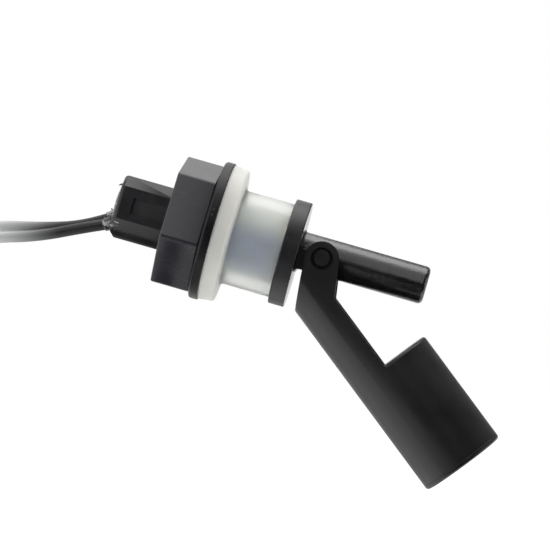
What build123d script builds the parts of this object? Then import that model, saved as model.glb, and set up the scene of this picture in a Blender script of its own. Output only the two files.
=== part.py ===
from build123d import *
import math
import os

# A side-entry float switch for a tank wall, in millimetres.
# The origin is on the stem's axis, in the plane where the seal's flange meets the outside of the wall.
# +X runs along the stem into the tank and +Z is up. The float hangs low at rest.

# Seal and wall
flange_r = 14.0
flange_thick = 3.5
flange_taper = 0.5  # how much smaller the rim is at the wall
flange_rim_round = 0.45
barrel_r = 9.85
barrel_length = 10.5
barrel_root_round = 0.8
seal_slip = 0.1  # round the neck and ahead of the thread
seal_thread_slip = 0.15

# Washer and nut
washer_proud = 0.45  # how far the washer stands out past the seal's flange
washer_r = flange_r + washer_proud
washer_thick = 2.0
washer_chamfer = 0.35
washer_slip = 0.1
nut_across_flats = 24.0
nut_length = 8.1
nut_edge_round = 0.6
nut_lean = 13.4  # how far the top corner leans away from the front, in degrees
nut_bore_chamfer = 0.4
nut_seat_gap = 0.05
thread_clearance = 0.08
thread_pitch = 2.0
tightening_turns = 1.5

# Stem
neck_r = 6.85
thread_r = 8.0
thread_chamfer = 0.8
thread_spare = 1.0  # thread left ahead of the nut when it is tight
thread_hidden = 0.15  # the thread ends this far inside the nut's rear face
block_overhang = 10.75
block_end_round = 0.9
block_profile = [(3.4, 6.15), (6.03, 3.9), (6.03, -2.86), (2.6, -5.5)]  # one side's corners as (y, z)
keel_half_width = 2.6
keel_round = 0.5
keel_end_chamfer = 1.0
overlap = 0.5  # how far a form runs into the one that it is joined to
pocket_start = 3.2
pocket_low = -1.3
pocket_high = 2.0
pocket_depth = 0.75

# Disc and rod
disc_r = 11.0
disc_thick = 3.4
disc_edge_round = 0.3
rod_r = 3.9
rod_rise = 1.18  # the rod's axis is above the stem's
rod_length = 26.9
rod_tip_round = 1.0
rod_collar = 0.45

# Cavity for the reed and its wires
cavity_r = 4.6
cavity_drop = 1.2
block_cavity_r = 4.1
block_cavity_drop = 1.65
cavity_front_wall = 2.7
rod_bore_r = 2.65
rod_tip_wall = 1.5

# Pivot
pivot_reach = 5.0  # from the disc's face
pivot_rise = 0.64
saddle_half_width = 6.0
saddle_floor = -2.6
saddle_top = 1.5
saddle_boss_r = 3.2
saddle_flare = 1.2
trunnion_r = 2.2
trunnion_recess = 0.15
trunnion_tip_r = 1.8
trunnion_tip_length = 0.9
trunnion_tip_rise = 0.12
trunnion_chamfer = 0.2
pivot_clearance = 0.08

# Float and its arm, along u from the pivot and across it by v, which points away from the rod
rest_angle = 37.5
ear_r = 3.5
ear_half_width = 8.1  # to the ear's outer face at the pivot
ear_spread = 3.3  # each ear's face opens by this many degrees towards the float
arm_wall = 1.7
back_wall = 1.6
bend_outer_u = 5.2
bend_inner_u = 7.95
bend_round = 0.7
float_r = 9.1
float_offset = 1.77
float_start = 24.9
float_start_round = 0.7
float_length = 25.7
arm_cut = 2.68
stop_gap = 0.15
rib_u = 9.5
rib_thick = 1.5
rib_gap = 0.2
float_wall = 1.5
cap_thick = 1.0
cap_spigot = 2.2
cap_fit = 0.05
cap_round = 0.6
magnet_r = 3.0
magnet_length = 4.8
magnet_fit = 0.05
magnet_holder_wall = 1.1

# Reed switch inside the rod
reed_r = 1.15
reed_bore_r = 0.85
reed_end_round = 0.69
reed_length = 14.0
reed_tip_gap = 3.0  # from the glass to the end of the rod's bore
reed_side = 1.2
reed_seal = 1.6
reed_root = 0.4  # each blade starts this far inside its glass seal
blade_width = 1.1
blade_thick = 0.22
blade_gap = 0.06
blade_overlap = 1.4
wire_r = 0.25
wire_tip_gap = 0.15
return_side = -1.3

# Leads
lead_r = 1.15
core_r = 0.45
lead_spacing = 1.2  # each lead's distance from the middle plane
lead_inner_end = -6.0
lower_inner_z = -1.74
solder_film = 0.02  # between a joint's middle and each of its two wires
joint_r = 0.8
joint_length = 4.0
joint_end_chamfer = 0.3
sleeve_wall = 0.25
sleeve_overhang = 1.5
sleeve_fit = 0.05
upper_joint_x = 2.0
lower_joint_x = 11.0
stripped_length = 6.0
stripped_chamfer = 0.16
glue_proud = 1.9
glue_margin = 0.9
glue_round = 0.6

# Routes of the free leads from the stem's rear face to their coils, as (x, z) points
upper_route = [
    (-24.4, -2.55), (-29.5, -6.05), (-38.0, -8.95), (-47.5, -11.15),
    (-57.5, -15.2), (-65.6, -20.6), (-71.2, -28.0), (-73.8, -36.6),
]
lower_route = [
    (-24.4, -4.15), (-29.3, -6.35), (-38.5, -10.95), (-47.5, -13.75),
    (-56.6, -18.0), (-64.4, -23.6), (-70.2, -30.4), (-73.6, -38.2),
]
coil_centre = (-59.5, -45.0)
coil_pitch = 2.4  # from one turn to the next
coil_mean_r = 13.6
coil_chamfer = 0.8
tail_turn = 30.0  # where the tails leave the coils, in degrees past the entry
tail_runs = [11.0, 9.0]
tail_droop = 12.0
tie_width = 2.6
tie_thick = 0.8
tie_slip = 0.12
tie_inner_round = 0.5
tie_head = (2.4, 3.4, 3.4)
tie_head_round = 0.35

# Places along the stem
washer_front = -flange_thick
washer_back = washer_front - washer_thick
nut_front = washer_back - nut_seat_gap
nut_back = nut_front - nut_length
rear_x = nut_back - block_overhang
nut_travel = thread_pitch * tightening_turns
thread_back = nut_back + thread_hidden
thread_front = nut_front + nut_travel + thread_spare
disc_back = barrel_length
disc_front = disc_back + disc_thick
rod_tip = disc_front + rod_length
pivot_x = disc_front + pivot_reach
cavity_end = disc_back - cavity_front_wall
bore_end = rod_tip - rod_tip_wall
core_z = rod_rise - solder_film - wire_r  # a core and a reed wire lie one over the other in each joint
wire_z = rod_rise + solder_film + core_r
reed_front = bore_end - reed_tip_gap
reed_rear = reed_front - reed_length
float_end = float_start + float_length
outer_v = float_offset + float_r


def rod_x(start, end, radius, y=0.0, z=0.0):
    """A round bar along X."""
    return extrude(Plane.YZ.offset(start) * Pos(y, z) * Circle(radius), end - start)


def block(x_range, y_range, z_range):
    """A plain block between three pairs of limits."""
    sizes = [high - low for low, high in (x_range, y_range, z_range)]
    middle = [(low + high) / 2 for low, high in (x_range, y_range, z_range)]
    return Pos(*middle) * Box(*sizes)


def rounded(sketch, corners):
    """The sketch with the named corners rounded, each given as ((x, y), radius)."""
    for (x, y), radius in corners:
        corner = min(sketch.vertices(), key=lambda v: math.hypot(v.X - x, v.Y - y))
        sketch = fillet(corner, radius)
    return sketch


def turned(points, corners=()):
    """A solid of revolution about X from (x, radius) points."""
    return revolve(Plane.XZ * rounded(make_face(Polyline(*points, close=True)), corners), Axis.X)


def slab_xz(points, half_width, corners=()):
    """A profile of (x, z) points made equally thick on both sides of the middle plane."""
    profile = rounded(make_face(Polyline(*points, close=True)), corners)
    return extrude(Plane.XZ * profile, half_width, both=True)


def stem_turning():
    """Everything on the stem that is turned about its own axis."""
    corners = [((x, disc_r), disc_edge_round) for x in (disc_back, disc_front)]
    return turned(
        [
            (thread_back, 0), (thread_back, neck_r), (thread_back + thread_chamfer, thread_r),
            (thread_front - thread_chamfer, thread_r), (thread_front, neck_r),
            (disc_back, neck_r), (disc_back, disc_r), (disc_front, disc_r), (disc_front, 0),
        ],
        corners,
    )


def rear_block():
    """The block behind the nut: flat sides and top, sloping facets, a keel below and a pocket in each side."""
    length = thread_back + overlap - rear_x
    outline = Polyline(*block_profile, *[(-y, z) for y, z in reversed(block_profile)], close=True)
    body = extrude(Plane.YZ.offset(rear_x) * make_face(outline), length)
    body = fillet(body.faces().sort_by(Axis.X)[0].edges(), block_end_round)
    keel_low, keel_high = -neck_r, block_profile[-1][1] + overlap
    keel = block((rear_x, rear_x + length), (-keel_half_width, keel_half_width), (keel_low, keel_high))
    rear = keel.faces().sort_by(Axis.X)[0].edges().filter_by(Axis.Y).sort_by(Axis.Z)[0]
    keel = chamfer(rear, keel_end_chamfer)
    keel = fillet(keel.faces().sort_by(Axis.Z)[0].edges().filter_by(Axis.X), keel_round)
    body += keel
    for side in (-1, 1):
        body -= pocket(side)
    return body


def pocket(side):
    """A pocket in the block's side, deepest at its rear end."""
    flat = block_profile[1][0]
    start, bottom, out = rear_x + pocket_start, side * (flat - pocket_depth), 2 * side * flat
    wedge = [(start, out), (start, bottom), (thread_back, side * flat), (thread_back, out)]
    wedge = make_face(Polyline(*wedge, close=True))
    return extrude(Plane.XY.offset(pocket_low) * wedge, pocket_high - pocket_low)


def rod():
    """The round rod that holds the reed, with its collar at the disc."""
    bar = rod_x(disc_front - overlap, rod_tip, rod_r, z=rod_rise)
    bar = fillet(bar.edges().sort_by(Axis.X)[-1], rod_tip_round)
    root = Plane.YZ.offset(disc_front) * Pos(0, rod_rise) * Circle(rod_r + rod_collar)
    top = Plane.YZ.offset(disc_front + rod_collar) * Pos(0, rod_rise) * Circle(rod_r)
    return bar + loft([root, top])


def saddle():
    """The root under the rod that carries the pivot, flared into the disc."""
    end = pivot_x + saddle_boss_r
    corners = [((disc_front, saddle_floor), saddle_flare), ((disc_front, saddle_top), saddle_flare)]
    base = disc_front - overlap
    spread = 3 * saddle_flare
    outline = [
        (base, saddle_floor - spread), (disc_front, saddle_floor - spread), (disc_front, saddle_floor),
        (end, saddle_floor), (end, pivot_rise), (pivot_x, saddle_top), (disc_front, saddle_top),
        (disc_front, saddle_top + spread), (base, saddle_top + spread),
    ]
    body = slab_xz(outline, saddle_half_width, corners)
    boss = extrude(Plane.XZ * Pos(pivot_x, pivot_rise) * Circle(saddle_boss_r), saddle_half_width, both=True)
    return body + boss


def trunnions():
    """The two round pins that the float's ears turn on."""
    reach = ear_half_width - trunnion_recess
    tip = Pos(pivot_x, pivot_rise + trunnion_tip_rise) * Circle(trunnion_tip_r)
    tips = extrude(Plane.XZ * tip, reach, both=True)
    ends = tips.faces().sort_by(Axis.Y)
    tips = chamfer(ends[0].edges() + ends[-1].edges(), trunnion_chamfer)
    pin = Pos(pivot_x, pivot_rise) * Circle(trunnion_r)
    return tips + extrude(Plane.XZ * pin, reach - trunnion_tip_length, both=True)


def cavity():
    """The hollow inside the stem and the rod, which the resin fills."""
    rear = rod_x(rear_x, thread_back + overlap, block_cavity_r, z=-block_cavity_drop)
    wide = rod_x(thread_back, cavity_end, cavity_r, z=-cavity_drop)
    return rear + wide + rod_x(cavity_end - overlap, bore_end, rod_bore_r, z=rod_rise)


def stem_body():
    return stem_turning() + rear_block() + saddle() + rod() + trunnions() - cavity()


def seal_bush():
    """The soft bush: a flange outside the wall and a barrel that swells in the hole."""
    neck_bore = neck_r + seal_slip
    thread_bore = thread_r + seal_thread_slip
    step = thread_front + seal_slip
    return turned(
        [
            (washer_front, thread_bore), (washer_front, flange_r), (0, flange_r - flange_taper), (0, barrel_r),
            (barrel_length, barrel_r), (barrel_length, neck_bore), (step, neck_bore), (step, thread_bore),
        ],
        [((0, flange_r - flange_taper), flange_rim_round), ((0, barrel_r), barrel_root_round)],
    )


def slip_washer():
    bore = thread_r + washer_slip
    return turned([
        (washer_front, bore), (washer_front, washer_r), (washer_back + washer_chamfer, washer_r),
        (washer_back, washer_r - washer_chamfer), (washer_back, bore),
    ])


def hex_nut():
    corner_r = nut_across_flats / math.sqrt(3)
    outline = RegularPolygon(corner_r, 6, rotation=90 - nut_lean)
    outline = fillet(outline.vertices(), nut_edge_round)
    bore = thread_r + thread_clearance
    blank = extrude(Plane.YZ.offset(nut_back) * outline, nut_length)
    bore_cut = turned([
        (nut_back, 0), (nut_back, bore + nut_bore_chamfer), (nut_back + nut_bore_chamfer, bore),
        (nut_front, bore), (nut_front, 0),
    ])
    return blank - bore_cut


def on_float(shape):
    """Carries a shape from the float's own frame, with the pivot at its origin, to its place at rest."""
    return Pos(pivot_x, 0, pivot_rise) * Rot(0, rest_angle, 0) * shape


def tangent_point(corner, side):
    """Where the line from a corner touches the ear's round end."""
    u, v = corner
    away = math.hypot(u, v)
    angle = math.atan2(v, u) + side * math.acos(ear_r / away)
    return ear_r * math.cos(angle), ear_r * math.sin(angle)


def arm_outline():
    """The side view of the arm, with the ear's two edges tangent to its round end."""
    outer, inner = (bend_outer_u, -outer_v), (bend_inner_u, -arm_cut)
    edges = [tangent_point(outer, -1), outer, inner, tangent_point(inner, 1)]
    ear = make_face(Polyline(*edges, (0, 0), close=True))
    end = float_start + 2 * overlap
    beam = make_face(Polyline(outer, (end, -outer_v), (end, -arm_cut), inner, close=True))
    return rounded(ear + beam + Circle(ear_r), [(outer, bend_round), (inner, bend_round)])


def ear_wedge(half_width):
    """The space between the two ear faces, which open a little towards the float."""
    slope = math.tan(math.radians(ear_spread))
    back, front, tall = -2 * ear_r, float_start + 2 * overlap, 2 * float_r
    corners = [(back, half_width + slope * back), (front, half_width + slope * front)]
    outline = Polyline(*corners, *[(u, -y) for u, y in reversed(corners)], close=True)
    return extrude(Plane.XY * make_face(outline), tall, both=True)


def arm_envelope(radius, half_width, end):
    """The arm's round underside with straight sides above it, between the ear faces."""
    start = -2 * ear_r
    under = rod_x(start, end, radius, z=-float_offset)
    above = block((start, end), (-radius, radius), (-float_offset, 2 * ear_r))
    return (under + above) & ear_wedge(half_width)


def back_wall_room():
    """Side view of the hollow behind the ears: right of the back wall, or above the stop's top edge."""
    outer = (bend_outer_u, -outer_v)
    upper = tangent_point(outer, -1)
    along = Vector(outer[0] - upper[0], outer[1] - upper[1]).normalized()
    inward = Vector(-along.Y, along.X) * back_wall
    far = 3 * float_r
    low, high = Vector(*outer) + inward + along * far, Vector(*upper) + inward - along * far
    right = make_face(Polyline(low, (far, low.Y), (far, high.Y), high, close=True))
    height = saddle_floor - stop_gap - pivot_rise
    above = Rot(0, 0, rest_angle) * Pos(0, height + far / 2) * Rectangle(2 * far, far)
    return extrude(Plane.XZ * right, far, both=True), extrude(Plane.XZ * above, far, both=True)


def float_arm():
    """The two ears and the channel between them and the float, with the rib that stops it under the rod."""
    solid = extrude(Plane.XZ * arm_outline(), 2 * float_r, both=True)
    solid &= arm_envelope(float_r, ear_half_width, float_start + 2 * overlap)
    room = arm_envelope(float_r - arm_wall, ear_half_width - arm_wall, float_start)
    right, above = back_wall_room()
    rib_top = rod_rise - rod_r - pivot_rise - rib_gap
    rib = block((rib_u, rib_u + rib_thick), (-float_r, float_r), (-2 * float_r, rib_top))
    solid = solid - (room & right - rib) - (room & above - rib)
    hole = extrude(Plane.XZ * Circle(trunnion_r + pivot_clearance), 2 * float_r, both=True)
    return solid - hole


def float_cup():
    """The hollow float, closed at the arm's end and open for its cap, with the holder for the magnet."""
    body_end = float_end - cap_thick
    inside = float_start + float_wall
    cup = rod_x(float_start, body_end, float_r, z=-float_offset)
    cup = fillet(cup.edges().sort_by(Axis.X)[0], float_start_round)
    cup -= rod_x(inside, body_end, float_r - float_wall, z=-float_offset)
    bore = magnet_r + magnet_fit
    holder = rod_x(inside - overlap, inside + magnet_length, bore + magnet_holder_wall, z=-float_offset)
    return cup + (holder - rod_x(inside, inside + magnet_length, bore, z=-float_offset))


def float_shell():
    return on_float(float_arm() + float_cup())


def float_cap():
    body_end = float_end - cap_thick
    spigot_r = float_r - float_wall - cap_fit
    lid = rod_x(body_end, float_end, float_r, z=-float_offset)
    lid = fillet(lid.edges().sort_by(Axis.X)[-1], cap_round)
    spigot = rod_x(body_end - cap_spigot, body_end + overlap, spigot_r, z=-float_offset)
    spigot -= rod_x(body_end - cap_spigot, body_end, spigot_r - float_wall, z=-float_offset)
    return on_float(lid + spigot)


def float_magnet():
    inside = float_start + float_wall
    return on_float(rod_x(inside, inside + magnet_length, magnet_r, z=-float_offset))


def reed_glass():
    """The sealed glass tube, with its ends melted round the two wires."""
    tube = rod_x(reed_rear, reed_front, reed_r, reed_side, wire_z)
    tube = fillet(tube.edges().filter_by(GeomType.CIRCLE), reed_end_round)
    tube -= rod_x(reed_rear + reed_seal, reed_front - reed_seal, reed_bore_r, reed_side, wire_z)
    return tube - rod_x(reed_rear, reed_front, wire_r, reed_side, wire_z)


def blade(start, end, rise):
    """One flat contact blade, offset up or down so that the two tips overlap."""
    low, high = sorted((start, end))
    z = wire_z + rise
    half = blade_thick / 2
    return block(
        (low, high), (reed_side - blade_width / 2, reed_side + blade_width / 2), (z - half, z + half)
    )


def reed_blades():
    """The rear and front blades, each in one piece with its wire."""
    middle = (reed_rear + reed_front) / 2
    rise = (blade_thick + blade_gap) / 2
    root = reed_seal + reed_root
    rear_wire = rod_x(upper_joint_x, reed_rear + root, wire_r, reed_side, wire_z)
    rear = rear_wire + blade(reed_rear + reed_seal, middle + blade_overlap / 2, rise)
    front_wire = rod_x(reed_front - root, reed_front, wire_r, reed_side, wire_z)
    front = front_wire + blade(reed_front - reed_seal, middle - blade_overlap / 2, -rise)
    bend_r = (reed_side - return_side) / 2
    turn_x = bore_end - bend_r - wire_r - wire_tip_gap
    bend = [(turn_x, reed_side), (turn_x + bend_r, return_side + bend_r), (turn_x, return_side)]
    bend = [(x, y, wire_z) for x, y in bend]
    path = Line((reed_front, reed_side, wire_z), bend[0]) + ThreePointArc(*bend)
    path += Line(bend[-1], (lower_joint_x, return_side, wire_z))
    section = Plane(origin=(reed_front, reed_side, wire_z), z_dir=(1, 0, 0)) * Circle(wire_r)
    return rear, front + sweep(section, path=path)


def rounded_route(points):
    """Straight runs joined by tangent arcs, each as large as its two runs allow."""
    radii = []
    for before, here, after in zip(points, points[1:], points[2:]):
        come, go = Vector(*here) - Vector(*before), Vector(*after) - Vector(*here)
        half_turn = math.radians(come.get_angle(go)) / 2
        radii.append(0.45 * min(come.length, go.length) / math.tan(half_turn))
    print("radii", [round(r, 1) for r in radii])
    return FilletPolyline(*points, radius=radii)


def tube(points, radius):
    """A round tube along a rounded route, with its volume compared with its section times its length."""
    route = rounded_route(points)
    section = Plane(origin=route @ 0, z_dir=route % 0) * Circle(radius)
    solid = sweep(section, path=route)
    share = solid.volume / (math.pi * radius ** 2 * route.length)
    print("length", round(route.length, 1), "volume share", round(share, 4))
    return solid


def straight_tube(start, end, radius):
    run = Line(start, end)
    return sweep(Plane(origin=start, z_dir=run % 0) * Circle(radius), path=run)


def lead_root(route, side, inner_z):
    """The stretch of a lead inside the stem: level, then sloping to the way it leaves."""
    exit_point, first = Vector(*route[0]), Vector(*route[1])
    back = (exit_point - first).normalized()
    turn = exit_point + back * ((inner_z - exit_point.Y) / back.Y)
    points = [(lead_inner_end, side, inner_z), (turn.X, side, inner_z), (exit_point.X, side, exit_point.Y)]
    return tube(points, lead_r)


def cores():
    """The bared ends of the conductors inside the stem."""
    upper = rod_x(lead_inner_end, upper_joint_x + joint_length, core_r, lead_spacing, core_z)
    rise = core_z - lower_inner_z
    points = [
        (lead_inner_end, -lead_spacing, lower_inner_z),
        (lower_joint_x - 3 * rise, -lead_spacing, lower_inner_z),
        (lower_joint_x - rise, return_side, core_z),
        (lower_joint_x + joint_length, return_side, core_z),
    ]
    return upper, tube(points, core_r)


def at_joints(make):
    """The same small piece at each of the two soldered joints."""
    return make(upper_joint_x, lead_spacing) + make(lower_joint_x, return_side)


def solder_joint(x, y):
    joint = rod_x(x, x + joint_length, joint_r, y, rod_rise)
    return chamfer(joint.edges().filter_by(GeomType.CIRCLE), joint_end_chamfer)


def sleeve_bar(x, y, radius):
    """A bar as long as the sleeve over a joint."""
    return rod_x(x - sleeve_overhang, x + joint_length + sleeve_overhang, radius, y, rod_rise)


def joint_sleeve(x, y):
    bore = joint_r + sleeve_fit
    return sleeve_bar(x, y, bore + sleeve_wall) - sleeve_bar(x, y, bore)


def sleeve_filling(x, y):
    """The space that a sleeve keeps free of resin."""
    return sleeve_bar(x, y, joint_r + sleeve_fit + sleeve_wall)


def coil_radii():
    return coil_mean_r - coil_pitch / 2, coil_mean_r + coil_pitch / 2


def coil_ring(side):
    """The outer shape of one lead's coil, which lies against the other's in the middle plane."""
    inner, outer = coil_radii()
    half = coil_pitch / 2
    ring = Circle(outer + half) - Circle(inner - half)
    plane = Plane(origin=(coil_centre[0], 0, coil_centre[1]), z_dir=(0, side, 0))
    solid = extrude(plane * ring, 2 * coil_pitch)
    return chamfer(solid.edges().filter_by(GeomType.CIRCLE), coil_chamfer)


def coil_point(angle, radius):
    """A point on the coil, where the angle is counted anticlockwise from +X, seen from the front."""
    turn = math.radians(angle)
    return coil_centre[0] + radius * math.cos(turn), coil_centre[1] + radius * math.sin(turn)


def free_lead(route, side):
    """The lead from the stem to where it becomes its coil's outer turn."""
    entry = coil_point(180, coil_radii()[1])
    return tube([(x, side, z) for x, z in route + [entry]], lead_r)


def tail_points(side):
    """The tail leaves its coil along the turn and droops a little."""
    outer = coil_radii()[1]
    angle = 180 + tail_turn
    x, z = coil_point(angle, outer)
    y = side * (lead_spacing + coil_pitch)
    points, heading = [(x, y, z)], angle + 90
    for run in tail_runs:
        x += run * math.cos(math.radians(heading))
        z += run * math.sin(math.radians(heading))
        heading -= tail_droop
        points.append((x, y, z))
    return points


def tail(side):
    return tube(tail_points(side), lead_r)


def tinned_end(side):
    """The stripped, tinned end of a conductor."""
    before, end = (Vector(*p) for p in tail_points(side)[-2:])
    tip = end + (end - before).normalized() * stripped_length
    wire = straight_tube(end, tip, core_r)
    far = max(wire.edges().filter_by(GeomType.CIRCLE), key=lambda e: (e.center() - end).length)
    return chamfer(far, stripped_chamfer)


def coil_tie():
    """A strap round both coils, with its small locking head outside them."""
    inner, outer = (r + s * coil_pitch / 2 for r, s in zip(coil_radii(), (-1, 1)))
    near, far = inner - tie_slip, outer + tie_slip
    half = 2 * coil_pitch + tie_slip
    strap = Pos((near + far) / 2, 0) * (
        RectangleRounded(far - near + 2 * tie_thick, 2 * (half + tie_thick), tie_inner_round + tie_thick)
        - RectangleRounded(far - near, 2 * half, tie_inner_round)
    )
    loop = extrude(Plane.XY.offset(-tie_width / 2) * strap, tie_width)
    head = Pos(far + (tie_thick + tie_head[0]) / 2, 0) * fillet(Box(*tie_head).edges(), tie_head_round)
    return Pos(coil_centre[0], 0, coil_centre[1]) * (loop + head)


def exit_glue(leads):
    """The bead of glue round the leads where they leave the stem."""
    spots = [(-lead_spacing, lower_route[0][1]), (lead_spacing, upper_route[0][1])]
    outline = make_hull([Pos(*spot) * e for spot in spots for e in Circle(lead_r + glue_margin).edges()])
    bead = extrude(Plane.YZ.offset(rear_x - glue_proud) * make_face(outline), glue_proud)
    bead = fillet(bead.faces().sort_by(Axis.X)[0].edges(), glue_round)
    for lead in leads:
        bead -= lead
    return bead


def main():
    os.makedirs("parts", exist_ok=True)
    upper_lead, lower_lead = free_lead(upper_route, lead_spacing), free_lead(lower_route, -lead_spacing)
    rear_blade, front_blade = reed_blades()
    upper_core, lower_core = cores()
    upper_root = lead_root(upper_route, lead_spacing, core_z)
    lower_root = lead_root(lower_route, -lead_spacing, lower_inner_z)
    joints, sleeves = at_joints(solder_joint), at_joints(joint_sleeve)
    glass = reed_glass()
    for wire in (rear_blade, front_blade, upper_core, lower_core):
        joints -= wire
    leads = [upper_lead, lower_lead, upper_root, lower_root]
    held = [glass, rear_blade, front_blade, upper_core, lower_core, at_joints(sleeve_filling)]
    resin = cavity() - rod_x(reed_rear, reed_front, reed_bore_r, reed_side, wire_z)
    for piece in held + leads:
        resin -= piece
    nodes = {
        "stem_body": stem_body(),
        "seal_bush": seal_bush(),
        "slip_washer": slip_washer(),
        "hex_nut": hex_nut(),
        "float_shell": float_shell(),
        "float_cap": float_cap(),
        "float_magnet": float_magnet(),
        "reed_glass": glass,
        "reed_blade_rear": rear_blade,
        "reed_blade_front": front_blade,
        "upper_core": upper_core,
        "lower_core": lower_core,
        "solder_joints": joints,
        "joint_sleeves": sleeves,
        "upper_lead_root": upper_root,
        "lower_lead_root": lower_root,
        "potting_resin": resin,
        "exit_glue": exit_glue(leads),
        "upper_lead": upper_lead,
        "lower_lead": lower_lead,
        "upper_lead_coil": coil_ring(1),
        "lower_lead_coil": coil_ring(-1),
        "upper_lead_tail": tail(1),
        "lower_lead_tail": tail(-1),
        "upper_tinned_end": tinned_end(1),
        "lower_tinned_end": tinned_end(-1),
        "coil_tie": coil_tie(),
    }
    for name, shape in nodes.items():
        export_step(shape, f"parts/{name}.step")


main()
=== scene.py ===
import math

import bmesh
import bpy
from mathutils import Matrix, Vector, noise


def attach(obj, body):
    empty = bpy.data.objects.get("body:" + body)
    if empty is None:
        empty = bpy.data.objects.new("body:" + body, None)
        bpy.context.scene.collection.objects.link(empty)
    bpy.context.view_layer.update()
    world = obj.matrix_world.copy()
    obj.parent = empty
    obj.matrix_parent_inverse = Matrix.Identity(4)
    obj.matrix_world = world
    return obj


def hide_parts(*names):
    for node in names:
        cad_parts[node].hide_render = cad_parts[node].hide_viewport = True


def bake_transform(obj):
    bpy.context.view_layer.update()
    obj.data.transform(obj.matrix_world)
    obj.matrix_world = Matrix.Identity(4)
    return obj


# A side-entry float switch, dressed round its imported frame
# Pieces are shaped in millimetres and brought to metres when they are kept

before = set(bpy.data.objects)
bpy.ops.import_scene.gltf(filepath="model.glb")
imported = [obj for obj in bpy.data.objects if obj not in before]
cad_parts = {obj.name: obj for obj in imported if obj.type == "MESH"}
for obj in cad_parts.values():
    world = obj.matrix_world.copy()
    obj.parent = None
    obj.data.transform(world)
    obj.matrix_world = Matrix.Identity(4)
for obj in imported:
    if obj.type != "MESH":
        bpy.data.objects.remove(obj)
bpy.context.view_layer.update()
mm = 0.001
closeness = {"node": 0.001, "flatAngle": 0.3, "ring": 0.0005, "thread": 0.002, "cut": 0.0001, "level": 0.001}
print("frame loaded")


def linkedItem(name, data):
    item = bpy.data.objects.new(name, data)
    bpy.context.collection.objects.link(item)
    return item


def meshFrom(name, made):
    mesh = bpy.data.meshes.new(name)
    made.to_mesh(mesh)
    made.free()
    return mesh


def newVerts(grown):
    return [g for g in grown if isinstance(g, bmesh.types.BMVert)]


def scaleReach(vert, share):
    vert.co.y *= share
    vert.co.z *= share


# camera

cameraValues = {
    "aim": (10.4, 0, -5.17),
    "stand": (38, -655, -3),
    "seenWidth": 112.5,
    "roll": 16,
    "sensor": 36,
    "clip": (0.01, 20),
}


def placeCamera(values):
    aim, stand = (Vector(values[k]) * mm for k in ("aim", "stand"))
    data = bpy.data.cameras.new("photoCamera")
    camera = linkedItem("photoCamera", data)
    look = (aim - stand).to_track_quat("-Z", "Y").to_matrix().to_4x4()
    roll = Matrix.Rotation(math.radians(values["roll"]), 4, "Z")
    camera.matrix_world = Matrix.Translation(stand) @ look @ roll
    data.sensor_width = values["sensor"]
    data.lens = values["sensor"] * (aim - stand).length / (values["seenWidth"] * mm)
    data.clip_start, data.clip_end = values["clip"]
    bpy.context.scene.camera = camera


placeCamera(cameraValues)


# the two leads

leadValues = {
    "radius": 1.15,
    "apart": 1.2,
    "upper": [
        (-24.4, -2.55), (-29.5, -6.05), (-38.0, -8.95), (-47.5, -11.15),
        (-57.5, -15.2), (-65.6, -20.6), (-71.2, -28.0), (-73.8, -36.6),
    ],
    "lower": [
        (-24.4, -4.15), (-29.3, -6.35), (-38.5, -10.95), (-47.5, -13.75),
        (-56.6, -18.0), (-64.4, -23.6), (-70.2, -30.4), (-73.6, -38.2),
    ],
    "coilCentre": (-59.5, -45.0),
    "slots": (12.4, 14.8),
    "pitch": 2.4,
    "pointsPerTurn": 18,
    "turns": 3,
    "extraTurn": 30,
    "stepIn": (300, 360),
    "stepAcross": (600, 660),
    "stepOut": (900, 960),
    "tail": [(-66.817, -61.926), (-64.036, -70.486)],
    "lengths": (353.7, 350.7),
}


def eased(angle, start, end):
    share = min(1, max(0, (angle - start) / (end - start)))
    return share * share * (3 - 2 * share)


def coilPoints(side, values):
    # each turn lies in its own slot, and the lead steps over to the next one
    centreX, centreZ = values["coilCentre"]
    inner, outer = values["slots"]
    step = 360 / values["pointsPerTurn"]
    swell = 1 / math.cos(math.radians(step / 2))  # the spline runs inside its points
    points = []
    angle = step
    last = 360 * values["turns"] + values["extraTurn"]
    while angle < last - step / 2:
        inward = eased(angle, *values["stepIn"]) - eased(angle, *values["stepOut"])
        radius = outer - (outer - inner) * inward
        y = side * (values["apart"] + values["pitch"] * eased(angle, *values["stepAcross"]))
        turn = math.radians(180 + angle)
        x = centreX + radius * swell * math.cos(turn)
        z = centreZ + radius * swell * math.sin(turn)
        points.append((x, y, z))
        angle += step
    return points


def layLead(name, side, route, finish, values):
    centreX, centreZ = values["coilCentre"]
    outer = values["slots"][1]
    turn = math.radians(180 + values["extraTurn"])
    entry = (centreX - outer, centreZ)
    leave = (centreX + outer * math.cos(turn), centreZ + outer * math.sin(turn))
    near, far = side * values["apart"], side * (values["apart"] + values["pitch"])
    points = [(x, near, z) for x, z in route + [entry]]
    points += coilPoints(side, values)
    points += [(x, far, z) for x, z in [leave] + values["tail"]]
    curve = bpy.data.curves.new(name, "CURVE")
    curve.dimensions = "3D"
    spline = curve.splines.new("NURBS")
    spline.points.add(len(points) - 1)
    for point, place in zip(spline.points, points):
        point.co = (*(Vector(place) * mm), 1)
    spline.order_u = 3
    spline.use_endpoint_u = True
    spline.resolution_u = 10
    curve.bevel_depth = values["radius"] * mm
    curve.bevel_resolution = 6
    curve.use_fill_caps = True
    curve.materials.append(finish)
    return linkedItem(name, curve)


# finishes


def newGroup(name, inputs, outputs):
    group = bpy.data.node_groups.new(name, "ShaderNodeTree")
    for label, kind, value in inputs:
        made = group.interface.new_socket(label, in_out="INPUT", socket_type=kind)
        if value is not None:
            made.default_value = value
    for label, kind in outputs:
        group.interface.new_socket(label, in_out="OUTPUT", socket_type=kind)
    return group, group.nodes.new("NodeGroupInput"), group.nodes.new("NodeGroupOutput")


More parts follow.
